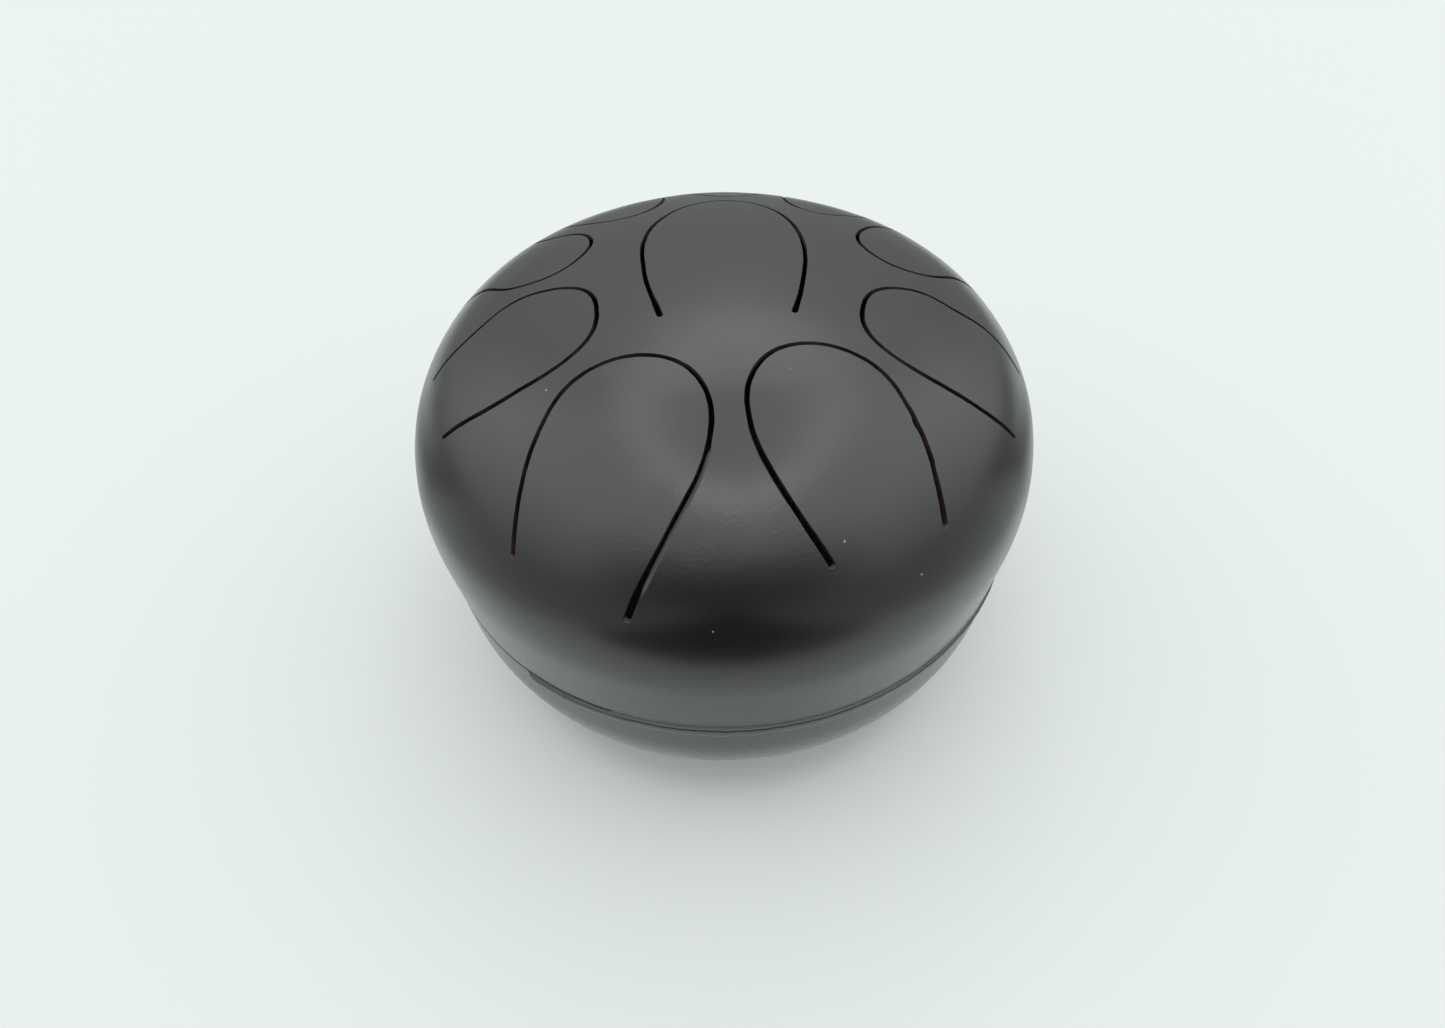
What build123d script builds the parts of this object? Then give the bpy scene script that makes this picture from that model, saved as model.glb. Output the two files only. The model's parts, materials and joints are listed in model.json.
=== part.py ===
from build123d import *
import math
import os

# Steel tongue drum: two dished steel shells welded at the waist, with nine tongues
# cut in a ring round a tenth in the crown.
# Frame: millimetres, +Z up, origin on the floor under the drum's axis. The player's
# side is -Y. Angles are in degrees, counter-clockwise from +X seen from above.

# Driving dimensions of the shells
SHELL_RADIUS = 150.0
SEAM_RADIUS = 148.7
SHEET = 2.5
CROWN_RADIUS = 407.0
NOTE_KNUCKLE = 88.5
NOTE_SKIRT = 32.3
BASE_KNUCKLE = 72.0
BASE_SKIRT = 19.2
FLOOR_CLEARANCE = 6.0

# Waist weld: a root run that fills the gap between the shells up to a groove, and a
# cap below the groove, on the base shell
WELD_GAP = 1.6
WELD_GROOVE_DEPTH = 0.5
WELD_CAP_WIDTH = 6.6
WELD_CAP_PROUD = 1.2

# Tongue slots, cut straight down through the note shell
SLOT = 2.0
ROOT_GAP = 0.3
LOOP_DEPTH = 36.0
CENTRE_LOOP_DEPTH = 53.0
SIDE_FULLNESS = 0.57
CUT_HEIGHT = 80.0

# Each tongue: root azimuth, free tip radius, loop half width, root radius,
# root half width, and the angle that the hand-cut tongue leans off its radius
TONGUES = {
    "tongue_front_left": (246.0, 65.5, 30.5, 138.0, 23.5, -7.0),
    "tongue_front_right": (294.0, 62.5, 29.0, 133.5, 23.5, 4.0),
    "tongue_left": (203.0, 55.5, 27.5, 126.5, 18.0, -7.0),
    "tongue_right": (336.5, 62.0, 26.0, 128.5, 17.5, 8.5),
    "tongue_rear_left": (160.0, 61.0, 28.5, 136.0, 15.0, -6.5),
    "tongue_rear_right": (19.0, 64.5, 27.5, 134.0, 15.0, 9.0),
    "tongue_back_left": (124.0, 68.0, 29.0, 133.0, 19.5, 0.0),
    "tongue_back_right": (57.0, 71.5, 25.0, 133.0, 19.5, 7.0),
    "tongue_back": (88.0, 76.0, 24.5, 134.0, 19.5, 3.0),
}
# The crown tongue's root is on the player's side, and its tip is past the axis
CENTRE_TONGUE = (272.5, -67.5, 35.0, 38.0, 25.5, -2.5)

# Sound port in the base and its rubber edge trim
PORT_RADIUS = 35.0
TRIM_LIP = 4.0
TRIM_WALL = 1.6

# Rubber feet, each held by a pan-head screw on a washer
FOOT_CIRCLE = 85.0
FOOT_AZIMUTHS = (45.0, 135.0, 225.0, 315.0)
FOOT_TOP_RADIUS = 14.0
FOOT_BOTTOM_RADIUS = 12.0
FOOT_EDGE = 1.2
FOOT_RECESS_RADIUS = 5.6
FOOT_RECESS_DEPTH = 6.0
SCREW_RADIUS = 2.0
SCREW_CLEARANCE = 0.08
SCREW_STICKOUT = 5.0
HEAD_RADIUS = 4.0
HEAD_HEIGHT = 2.4
DRIVE_RADIUS = 1.3
DRIVE_DEPTH = 1.4
WASHER_RADIUS = 5.4
WASHER_THICKNESS = 1.0


def dish_height(rim, knuckle):
    """Height of a dished end above its tangent line."""
    return CROWN_RADIUS - math.sqrt((CROWN_RADIUS - knuckle) ** 2 - (rim - knuckle) ** 2)


BASE_DISH = dish_height(SEAM_RADIUS, BASE_KNUCKLE)
NOTE_DISH = dish_height(SHELL_RADIUS, NOTE_KNUCKLE)
BASE_TANGENT_Z = FLOOR_CLEARANCE + BASE_DISH
SEAM_Z = BASE_TANGENT_Z + BASE_SKIRT
SHOULDER_Z = SEAM_Z + NOTE_SKIRT
TOP_Z = SHOULDER_Z + NOTE_DISH


def dish_region(rim, knuckle, tangent_z, end_rim, end_z, side, inset):
    """Solid of revolution under a dished outline that is inset by a distance.

    side is +1 for a dish that opens downwards and -1 for one that opens upwards.
    """
    height = dish_height(rim, knuckle)
    crown_z = tangent_z + side * (height - CROWN_RADIUS)
    lean = math.degrees(math.atan2(abs(tangent_z - crown_z), rim - knuckle))
    pole = (0.0, tangent_z + side * (height - inset))
    blend = side * lean
    crown_sweep = side * (90.0 - lean)
    crown = CenterArc((0.0, crown_z), CROWN_RADIUS - inset, blend, crown_sweep)
    shoulder = CenterArc((rim - knuckle, tangent_z), knuckle - inset, 0.0, blend)
    skirt = Line((rim - inset, tangent_z), (end_rim - inset, end_z))
    floor = Line((end_rim - inset, end_z), (0.0, end_z))
    axis = Line((0.0, end_z), pole)
    outline = Curve() + [crown, shoulder, skirt, floor, axis]
    return revolve(make_face(Plane.XZ * outline), Axis.Z)


def note_dome(inset):
    """Everything under the note shell's surface, down to its rim."""
    rim_z = SEAM_Z + WELD_GAP / 2
    return dish_region(SHELL_RADIUS, NOTE_KNUCKLE, SHOULDER_Z, SEAM_RADIUS, rim_z, 1, inset)


def base_bowl(inset):
    """Everything above the base shell's surface, up to its rim."""
    rim_z = SEAM_Z - WELD_GAP / 2
    return dish_region(SEAM_RADIUS, BASE_KNUCKLE, BASE_TANGENT_Z, SEAM_RADIUS, rim_z, -1, inset)


def tongue_prism(spec, loop_depth, grow, root_shift):
    """Upright prism over a tongue's plan, wider by grow all round.

    The plan is a half ellipse at the free tip, with a cubic side down to each end of
    the root. root_shift moves the root line outwards.
    """
    azimuth, tip, half, root, root_half, lean = spec
    loop_u = tip + loop_depth
    run = root + root_shift - loop_u
    wide = half + grow
    narrow = root_half + grow
    shoulder = narrow + (wide - narrow) * SIDE_FULLNESS
    end_u = loop_u + run

    def side(sign):
        return Bezier(
            (loop_u - root, sign * wide),
            (loop_u + run / 3 - root, sign * wide),
            (loop_u + 2 * run / 3 - root, sign * shoulder),
            (end_u - root, sign * narrow),
        )

    loop = EllipticalCenterArc((loop_u - root, 0), loop_depth + grow, wide, 90, arc_size=180)
    root_line = Line((end_u - root, narrow), (end_u - root, -narrow))
    plan = make_face(Curve() + [loop, side(1), root_line, side(-1)])
    prism = extrude(plan, amount=CUT_HEIGHT)
    bottom = Location((0, 0, TOP_Z + SHEET - CUT_HEIGHT))
    return bottom * Rotation(0, 0, azimuth) * Location((root, 0, 0)) * Rotation(0, 0, lean) * prism


def slot_ends(spec, loop_depth):
    """Round ends of the slot, one at each end of the root."""
    azimuth, tip, half, root, root_half, lean = spec
    place = Rotation(0, 0, azimuth) * Location((root, 0, 0)) * Rotation(0, 0, lean)
    ends = []
    for sign in (1, -1):
        drill = Cylinder(SLOT / 2, CUT_HEIGHT, align=(Align.CENTER, Align.CENTER, Align.MIN))
        centre = Location((0, sign * root_half, TOP_Z + SHEET - CUT_HEIGHT))
        ends.append(place * centre * drill)
    return ends


def all_tongues():
    """Name, plan and loop depth of the ten tongues."""
    rows = [(name, spec, LOOP_DEPTH) for name, spec in TONGUES.items()]
    rows.append(("tongue_centre", CENTRE_TONGUE, CENTRE_LOOP_DEPTH))
    return rows


def note_shell():
    """Upper dished shell, open where the tongues and their slots are."""
    shell = note_dome(0) - note_dome(SHEET)
    for name, spec, depth in all_tongues():
        shell -= tongue_prism(spec, depth, SLOT / 2, ROOT_GAP)
        for end in slot_ends(spec, depth):
            shell -= end
    return shell


def tongue(spec, depth):
    """One tongue: the sheet inside its slot, from the free tip to the root line."""
    sheet = note_dome(0) - note_dome(SHEET)
    blank = sheet & tongue_prism(spec, depth, -SLOT / 2, 0)
    for end in slot_ends(spec, depth):
        blank -= end
    return blank


def base_shell():
    """Lower dished shell with the sound port and four screw holes."""
    shell = base_bowl(0) - base_bowl(SHEET)
    shell -= Cylinder(PORT_RADIUS, CUT_HEIGHT)
    for azimuth in FOOT_AZIMUTHS:
        hole = Cylinder(SCREW_RADIUS + SCREW_CLEARANCE, CUT_HEIGHT)
        shell -= Rotation(0, 0, azimuth) * Location((FOOT_CIRCLE, 0, 0)) * hole
    return shell


def waist_weld():
    """Weld ring: root run between the two rims, and a low cap under its groove."""
    inner = SEAM_RADIUS - SHEET
    groove = SEAM_RADIUS - WELD_GROOVE_DEPTH
    crest = SEAM_RADIUS + WELD_CAP_PROUD
    gap_top = SEAM_Z + WELD_GAP / 2
    gap_bottom = SEAM_Z - WELD_GAP / 2
    cap_bottom = SEAM_Z - WELD_CAP_WIDTH
    root_run = Polyline(
        (groove, SEAM_Z),
        (groove, gap_top),
        (inner, gap_top),
        (inner, gap_bottom),
        (SEAM_RADIUS, gap_bottom),
        (SEAM_RADIUS, cap_bottom),
    )
    crest_z = SEAM_Z - WELD_CAP_WIDTH / 2
    cap = ThreePointArc((SEAM_RADIUS, cap_bottom), (crest, crest_z), (groove, SEAM_Z))
    section = make_face(Plane.XZ * (Curve() + [root_run, cap]))
    return revolve(section, Axis.Z)


def port_trim():
    """Rubber channel pushed over the edge of the sound port."""
    base_z = FLOOR_CLEARANCE + CROWN_RADIUS
    drop = CROWN_RADIUS - math.sqrt(CROWN_RADIUS**2 - (PORT_RADIUS + TRIM_LIP) ** 2)
    height = drop + SHEET + 2 * TRIM_WALL
    bottom = FLOOR_CLEARANCE - TRIM_WALL
    outer = Cylinder(PORT_RADIUS + TRIM_LIP, height, align=(Align.CENTER, Align.CENTER, Align.MIN))
    bore = Cylinder(PORT_RADIUS - TRIM_WALL, height, align=(Align.CENTER, Align.CENTER, Align.MIN))
    ring = Location((0, 0, bottom)) * (outer - bore)
    skin = Location((0, 0, base_z)) * Sphere(CROWN_RADIUS + TRIM_WALL)
    hollow = Location((0, 0, base_z)) * Sphere(CROWN_RADIUS - SHEET - TRIM_WALL)
    ring = (ring & skin) - hollow
    return ring - base_shell()


def foot(azimuth):
    """Tapered rubber foot whose top is moulded to the base, with a screw recess."""
    drop = CROWN_RADIUS - math.sqrt(CROWN_RADIUS**2 - (FOOT_CIRCLE + FOOT_TOP_RADIUS) ** 2)
    height = FLOOR_CLEARANCE + drop
    at_floor = (Align.CENTER, Align.CENTER, Align.MIN)
    body = Cone(FOOT_BOTTOM_RADIUS, FOOT_TOP_RADIUS, height, align=at_floor)
    body = fillet(body.faces().sort_by(Axis.Z)[0].edges(), FOOT_EDGE)
    body -= Cylinder(FOOT_RECESS_RADIUS, FOOT_RECESS_DEPTH, align=at_floor)
    body -= Cylinder(SCREW_RADIUS + SCREW_CLEARANCE, height, align=at_floor)
    place = Rotation(0, 0, azimuth) * Location((FOOT_CIRCLE, 0, 0))
    return (place * body) - base_bowl(0)


def foot_washer(azimuth):
    """Flat washer at the top of the foot's recess."""
    at_floor = (Align.CENTER, Align.CENTER, Align.MIN)
    ring = Cylinder(WASHER_RADIUS, WASHER_THICKNESS, align=at_floor)
    ring -= Cylinder(SCREW_RADIUS + SCREW_CLEARANCE, WASHER_THICKNESS, align=at_floor)
    height = FOOT_RECESS_DEPTH - WASHER_THICKNESS
    return Rotation(0, 0, azimuth) * Location((FOOT_CIRCLE, 0, height)) * ring


def foot_screw(azimuth):
    """Pan-head screw from the foot's recess up through the base shell."""
    at_floor = (Align.CENTER, Align.CENTER, Align.MIN)
    drop = CROWN_RADIUS - math.sqrt(CROWN_RADIUS**2 - FOOT_CIRCLE**2)
    seat = FOOT_RECESS_DEPTH - WASHER_THICKNESS
    tip = FLOOR_CLEARANCE + drop + SHEET + SCREW_STICKOUT
    head = Cylinder(HEAD_RADIUS, HEAD_HEIGHT, align=at_floor)
    head = fillet(head.faces().sort_by(Axis.Z)[0].edges(), HEAD_HEIGHT / 3)
    head -= extrude(RegularPolygon(DRIVE_RADIUS, 6), amount=DRIVE_DEPTH)
    shank = Location((0, 0, HEAD_HEIGHT)) * Cylinder(SCREW_RADIUS, tip - seat, align=at_floor)
    shank = chamfer(shank.faces().sort_by(Axis.Z)[-1].edges(), SCREW_RADIUS / 2)
    height = seat - HEAD_HEIGHT
    return Rotation(0, 0, azimuth) * Location((FOOT_CIRCLE, 0, height)) * (head + shank)


def ring_of(maker):
    """One compound with the four pieces that a maker puts at the feet."""
    return Compound(children=[maker(azimuth) for azimuth in FOOT_AZIMUTHS])


def save(shape, name):
    export_step(shape, f"parts/{name}.step")


def main():
    os.makedirs("parts", exist_ok=True)
    save(note_shell(), "note_shell")
    for name, spec, depth in all_tongues():
        save(tongue(spec, depth), name)
    save(base_shell(), "base_shell")
    save(waist_weld(), "waist_weld")
    save(port_trim(), "port_trim")
    for number, azimuth in enumerate(FOOT_AZIMUTHS, 1):
        save(foot(azimuth), f"foot_{number}")
    save(ring_of(foot_washer), "foot_washers")
    save(ring_of(foot_screw), "foot_screws")


main()
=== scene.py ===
"""Looks of the steel tongue drum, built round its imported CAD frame. Metres, +Z up."""

import json
import math

import bpy
import numpy as np
from mathutils import Matrix, Vector
from mathutils.geometry import delaunay_2d_cdt


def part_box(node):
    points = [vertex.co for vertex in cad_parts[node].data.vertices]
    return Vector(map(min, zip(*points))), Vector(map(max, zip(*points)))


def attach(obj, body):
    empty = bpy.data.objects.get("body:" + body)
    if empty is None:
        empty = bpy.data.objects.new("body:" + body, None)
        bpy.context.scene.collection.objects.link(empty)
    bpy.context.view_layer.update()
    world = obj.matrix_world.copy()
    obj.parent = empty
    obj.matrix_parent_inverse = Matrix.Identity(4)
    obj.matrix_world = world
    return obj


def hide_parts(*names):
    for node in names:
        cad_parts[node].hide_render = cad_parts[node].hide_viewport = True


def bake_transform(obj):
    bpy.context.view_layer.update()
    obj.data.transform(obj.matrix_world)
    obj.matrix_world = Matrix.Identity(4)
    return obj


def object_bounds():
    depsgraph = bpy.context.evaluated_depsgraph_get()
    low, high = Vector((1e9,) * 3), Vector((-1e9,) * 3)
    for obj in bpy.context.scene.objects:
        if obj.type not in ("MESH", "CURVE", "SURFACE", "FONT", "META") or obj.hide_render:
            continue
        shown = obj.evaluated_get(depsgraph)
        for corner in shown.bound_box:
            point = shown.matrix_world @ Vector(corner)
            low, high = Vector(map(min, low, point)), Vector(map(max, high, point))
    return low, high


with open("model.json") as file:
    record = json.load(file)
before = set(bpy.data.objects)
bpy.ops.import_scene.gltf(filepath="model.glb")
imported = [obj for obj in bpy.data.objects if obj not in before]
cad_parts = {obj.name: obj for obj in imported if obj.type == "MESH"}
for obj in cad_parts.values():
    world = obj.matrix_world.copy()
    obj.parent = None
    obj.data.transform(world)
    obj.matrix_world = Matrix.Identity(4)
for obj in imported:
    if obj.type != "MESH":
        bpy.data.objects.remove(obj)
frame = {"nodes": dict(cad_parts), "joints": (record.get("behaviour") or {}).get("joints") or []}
CAD_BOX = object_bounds()
MM = 0.001


def mm(*sizes):
    """Sizes in millimetres, as metres."""
    return tuple(size * MM for size in sizes)


# ---- dimensions

SHEET = 2.5 * MM
PORT_RADIUS = 35 * MM
# The outline's curves: a crown, a tighter knuckle and a skirt that draws in to the seam.
CROWN_RADIUS = 407 * MM
NOTE_KNUCKLE = 88.5 * MM
BASE_KNUCKLE = 72 * MM
SKIRT_DRAFT = math.radians(2.5)
# Length over which one curve of the outline turns into the next.
BEND_EASE = 7 * MM
TABLE_STEP = 0.1 * MM
TABLE_SKIRT = 60 * MM
# Room left inside the CAD box for the relief.
BOX_MARGIN = 0.12 * MM
WELD_GAP = 1.6 * MM
EDGE_ROUND = 0.3 * MM
RIM_ROUND = 0.6 * MM

# A slot: the depth of its round end, how early its sides reach full width, and its half
# width in the CAD and as a share of that here.
LOOP_DEPTH = 36 * MM
CENTRE_LOOP_DEPTH = 53 * MM
SIDE_FULLNESS = 0.57
END_FOLLOW = 0.6
HALF_SLOT = 1.0 * MM
CUT_SHARE = 0.88
SIDE_SAMPLES = 400
LOOP_SAMPLES = 600
CAP_STATIONS = 9
# How the saw wandered: (spacing, size) of the path's drift and jitter, in mm and held near
# the slot's ends, and of the width's roughness, in shares of the width.
DRIFT = (60 * MM, 0.16)
JITTER = (14 * MM, 0.05)
ROUGHNESS = ((45 * MM, 0.07), (9 * MM, 0.05))
HELD_END = 12 * MM
SLANT_ONSET = 5 * MM
# In mm, how far a tongue's tip stands off at rest.
TIP_RISE = (-0.12, 0.1)

# Mesh density, and how the triangulation scales the plan and joins its points.
LATTICE = 2.9 * MM
EDGE_CLEARANCE = LATTICE * 0.45
RIM_CLEARANCE = LATTICE * 0.6
STATION = 1.4 * MM
RIM_STATIONS = 480
BASE_STATIONS = 320
BASE_ROWS = 84
CHUNK = 4000
PLAN_SCALE = 100
PLAN_EPSILON = 1e-7
NEAR_POLE = 1e-5

NOTE_RADIUS = min(CAD_BOX[1].x, -CAD_BOX[0].x, CAD_BOX[1].y, -CAD_BOX[0].y) - BOX_MARGIN
TOP_Z = CAD_BOX[1].z - BOX_MARGIN
WELD_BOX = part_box("waist_weld")
SEAM_Z = WELD_BOX[1].z - WELD_GAP / 2
BASE_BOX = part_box("base_shell")
BASE_RADIUS = BASE_BOX[1].x - BOX_MARGIN / 2
TRIM_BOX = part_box("port_trim")


# ---- outline


def ease(t):
    """Smooth step from 0 to 1."""
    t = np.clip(t, 0, 1)
    return t * t * (3 - 2 * t)


def flat_of(s, theta):
    """The surface laid flat: its distance from the pole as a radius."""
    return np.stack([s * np.cos(theta), s * np.sin(theta)], 1)


def nearest(points, stations):
    """Squared distance from each point to the nearest station."""
    near = np.empty(len(points))
    for i in range(0, len(points), CHUNK):
        gap = points[i : i + CHUNK, None, :] - stations[None, :, :]
        near[i : i + CHUNK] = (gap**2).sum(-1).min(1)
    return near


class Dish:
    """A pressed shell's outline as tables along its surface, from the pole to the rim."""

    def __init__(self, knuckle, draft, radius, pole_z, side, rim_z):
        lean = math.asin((radius - knuckle) / (CROWN_RADIUS - knuckle))
        first = CROWN_RADIUS * lean
        second = first + knuckle * (math.pi / 2 + draft - lean)
        s = np.arange(0, second + TABLE_SKIRT, TABLE_STEP)
        to_knuckle = ease((s - first) / BEND_EASE + 0.5)
        to_skirt = ease((s - second) / BEND_EASE + 0.5)
        bend = (1 - to_knuckle) / CROWN_RADIUS + (to_knuckle - to_skirt) / knuckle
        tilt = np.concatenate([[0], np.cumsum((bend[1:] + bend[:-1]) / 2 * TABLE_STEP)])
        mid = (tilt[1:] + tilt[:-1]) / 2
        r = np.concatenate([[0], np.cumsum(np.cos(mid) * TABLE_STEP)])
        drop = np.concatenate([[0], np.cumsum(np.sin(mid) * TABLE_STEP)])
        self.side = side
        self.s, self.tilt = s, tilt
        self.r = r * radius / r.max()
        self.z = pole_z - side * drop
        self.widest = int(np.argmax(self.r))
        self.rim = float(np.interp(side * rim_z, (side * self.z)[::-1], s[::-1]))

    def along(self, r):
        """Distance along the surface from the pole to radius r, above the widest place."""
        return np.interp(r, self.r[: self.widest], self.s[: self.widest])

    def basis(self, s, theta):
        """Point, unit normal, and unit directions away from the pole and round it."""
        r = np.interp(s, self.s, self.r)
        z = np.interp(s, self.s, self.z)
        tilt = np.interp(s, self.s, self.tilt)
        c, d = np.cos(theta), np.sin(theta)
        point = np.stack([r * c, r * d, z], -1)
        normal = np.stack([np.sin(tilt) * c, np.sin(tilt) * d, self.side * np.cos(tilt)], -1)
        down = np.stack([np.cos(tilt) * c, np.cos(tilt) * d, -self.side * np.sin(tilt)], -1)
        around = np.stack([-d, c, 0 * c], -1)
        return point, normal, down, around, r


NOTE = Dish(NOTE_KNUCKLE, SKIRT_DRAFT, NOTE_RADIUS, TOP_Z, 1, SEAM_Z + WELD_GAP / 2)
BASE = Dish(BASE_KNUCKLE, 0, BASE_RADIUS, BASE_BOX[0].z + BOX_MARGIN, -1, SEAM_Z - WELD_GAP / 2)


# ---- relief

# The sheet's unevenness: (wavelength, height) in mm, each in several directions.
SHEET_WAVES = ((110, 0.05), (70, 0.035), (45, 0.022), (28, 0.010))
WAVE_DIRECTIONS = 4

rng = np.random.default_rng(11)
WAVES = []
for length, height in SHEET_WAVES:
    for repeat in range(WAVE_DIRECTIONS):
        direction = rng.normal(size=3)
        direction *= 2 * math.pi / (length * MM * rng.uniform(0.8, 1.25) * np.linalg.norm(direction))
        WAVES.append((direction, height * MM / 2, rng.uniform(0, 2 * math.pi)))


def waves(point):
    """Low unevenness of pressed sheet."""
    total = 0
    for direction, height, phase in WAVES:
        total = total + height * np.sin(point @ direction + phase)
    return total


def wander(scale, count=7):
    """A smooth seeded function of distance along a path, about -1 to 1."""
    freq = rng.uniform(0.6, 2.6, count) * 2 * math.pi / scale
    phase = rng.uniform(0, 2 * math.pi, count)
    gain = rng.uniform(0.3, 1, count)
    gain /= gain.sum() * 0.6

    def value(x):
        return sum(g * np.sin(f * x + p) for g, f, p in zip(gain, freq, phase))

    return value


# ---- slots


class Slot:
    """The slot round one tongue, as stations on the note shell's surface."""

    def __init__(self, joint):
        self.name = joint["child"]
        root = np.array(joint["pos_m"][:2], float)
        across = np.array(joint["axis"][:2], float)
        across /= np.linalg.norm(across)
        inward = np.array([-across[1], across[0]])
        cad = np.array([v.co[:2] for v in frame["nodes"][self.name].data.vertices]) - root
        w, v = cad @ inward, cad @ across
        self.root, self.across, self.inward = root, across, inward
        self.length = w.max() + HALF_SLOT
        self.half = abs(v).max() + HALF_SLOT
        self.narrow = abs(v[w < 0.3 * MM]).max() + HALF_SLOT
        self.depth = CENTRE_LOOP_DEPTH if self.name == "tongue_centre" else LOOP_DEPTH
        self.stations()

    def side(self, sign, end_w, end_v):
        """One side of the slot, from its end to where the loop starts."""
        run = self.length - TIPS.get(self.name, (0, 2, 0))[0] - self.depth
        full = self.narrow + (self.half - self.narrow) * SIDE_FULLNESS
        t = np.linspace(0, 1, SIDE_SAMPLES)
        corners = (
            (end_w, sign * self.narrow + end_v),
            (run / 3, sign * full + end_v * END_FOLLOW),
            (run * 2 / 3, sign * self.half),
            (run, sign * self.half),
        )
        weights = ((1 - t) ** 3, 3 * t * (1 - t) ** 2, 3 * t * t * (1 - t), t**3)
        return [sum(b * c[i] for b, c in zip(weights, corners)) for i in (0, 1)]

    def centreline(self):
        """Distances w and v along the middle of the slot, evenly spaced."""
        start, end = END_SHIFT.get(self.name, ((0, 0), (0, 0)))
        first_w, first_v = self.side(-1, *start)
        last_w, last_v = self.side(1, *end)
        a = np.linspace(0, math.pi, LOOP_SAMPLES)[1:-1]
        back, power, skew = TIPS.get(self.name, (0, 2, 0))
        c = np.cos(a)
        loop_v = -self.half * np.sign(c) * abs(c) ** (2 / power)
        loop_w = self.length - back - self.depth + self.depth * np.sin(a) ** (2 / power)
        loop_w = loop_w + skew * loop_v / self.half * np.sin(a)
        w = np.concatenate([first_w, loop_w, last_w[::-1]])
        v = np.concatenate([first_v, loop_v, last_v[::-1]])
        for side, place, reach, depth in WAISTS.get(self.name, ()):
            v = v - side * depth * np.exp(-(((w - place) / reach) ** 2)) * (v * side > 0)
        at = np.concatenate([[0], np.cumsum(np.hypot(np.diff(w), np.diff(v)))])
        even = np.linspace(0, at[-1], int(round(at[-1] / STATION)) + 1)
        return np.interp(even, at, w), np.interp(even, at, v), even

    def stations(self):
        """The path on the surface, with its half widths, directions and wall slants."""
        w, v, at = self.centreline()
        total = at[-1]
        hold = ease(np.minimum(at, total - at) / HELD_END)
        drift, jitter = (wander(spacing)(at) * size * MM * hold for spacing, size in (DRIFT, JITTER))
        rough = sum(size * wander(spacing)(at) for spacing, size in ROUGHNESS)
        width = HALF_SLOT * CUT_SHARE * (1 + rough)
        place = self.root + np.outer(w, self.inward) + np.outer(v, self.across)
        r, theta = np.hypot(*place.T), np.arctan2(place[:, 1], place[:, 0])
        s = NOTE.along(r)
        point, normal, down, around, r = NOTE.basis(s, theta)
        travel = np.gradient(point, axis=0)
        travel -= (travel * normal).sum(1)[:, None] * normal
        travel /= np.linalg.norm(travel, axis=1)[:, None]
        outer = np.cross(normal, travel)
        shift = drift + jitter
        for from_last, spread, gain in END_FLARE.get(self.name, ()):
            gap = total - at if from_last else at
            width = width + gain * ease(1 - gap / spread)
        for start, end, soft, aside, gain in SAW_MARKS.get(self.name, ()):
            mark = stretch(at, start, end, soft)
            shift = shift + aside * mark
            width = width + gain * mark
        self.slant_top, self.slant_foot = 0 * at, 0 * at
        for start, end, top, foot in SLANTS.get(self.name, ()):
            part = stretch(at, start, end, SLANT_ONSET)
            self.slant_top = self.slant_top + top * part
            self.slant_foot = self.slant_foot + foot * part
        s, theta = step(s, theta, outer, shift)
        self.s, self.theta, self.width = s, theta, width
        self.travel, self.outer = travel, outer
        self.make_edges()

    def centre(self, at):
        """Plan point of a station."""
        r = np.interp(self.s[at], NOTE.s, NOTE.r)
        return r * np.array([math.cos(self.theta[at]), math.sin(self.theta[at])])

    def make_edges(self):
        """Edge stations: where the sharp corner would be, and the way into the sheet."""
        start, end = self.centre(0), self.centre(-1)
        root = end - start
        length = np.linalg.norm(root)
        root /= length
        first, last = self.cap(0, root), self.cap(-1, -root)
        s, theta = step(self.s, self.theta, self.outer, self.width)
        outer = (s[1:-1], theta[1:-1], self.outer[1:-1])
        self.shell_edge = join(reverse(first), outer, last)
        plain = np.zeros(len(first[0]))
        slants = (self.slant_top, self.slant_foot)
        self.shell_slant = [np.concatenate([plain, slant[1:-1], plain]) for slant in slants]
        s, theta = step(self.s, self.theta, -self.outer, self.width)
        inner = (s[1:-1], theta[1:-1], -self.outer[1:-1])
        self.tongue_edge = join(tail(first, 1), inner, tail(last, 1))
        n = max(4, int(length / LATTICE))
        near, far = self.width[0] + EDGE_ROUND, length - self.width[-1] - EDGE_ROUND
        place = start + np.outer(np.linspace(far, near, n + 1)[1:-1], root)
        self.root_s = NOTE.along(np.hypot(*place.T))
        self.root_theta = np.arctan2(place[:, 1], place[:, 0])

    def cap(self, at, root):
        """Round end of the slot, from its outer side to the root line."""
        sign = 1 if at == 0 else -1
        point, normal, down, around, r = NOTE.basis(self.s[at], self.theta[at])
        beyond = -sign * self.travel[at]
        outer = self.outer[at]
        flat = np.array([*root, 0.0])
        slope = flat - (flat @ normal) / normal[2] * np.array([0, 0, 1.0])
        slope /= np.linalg.norm(slope)
        turn = math.atan2(slope @ beyond, slope @ outer) % (2 * math.pi)
        angles = np.linspace(0, turn, CAP_STATIONS)
        ways = np.outer(np.cos(angles), outer) + np.outer(np.sin(angles), beyond)
        ways[-1] = slope
        ones = np.ones(len(angles))
        s, theta = step(self.s[at] * ones, self.theta[at] * ones, ways, self.width[at])
        return s, theta, ways


def stretch(at, start, end, soft):
    """1 on part of a path, from start to end as shares of its length, with soft ends."""
    total = at[-1]
    share = at / total
    return ease((share - start) * total / soft) * ease((end - share) * total / soft)


def step(s, theta, way, distance):
    """Moves surface points a short distance along unit directions."""
    point, normal, down, around, r = NOTE.basis(s, theta)
    distance = np.broadcast_to(distance, np.shape(s))
    return s + (way * down).sum(-1) * distance, theta + (way * around).sum(-1) * distance / r


def reverse(edge):
    return tuple(part[::-1] for part in edge)


def tail(edge, count):
    return tuple(part[-count:] for part in edge)


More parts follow.
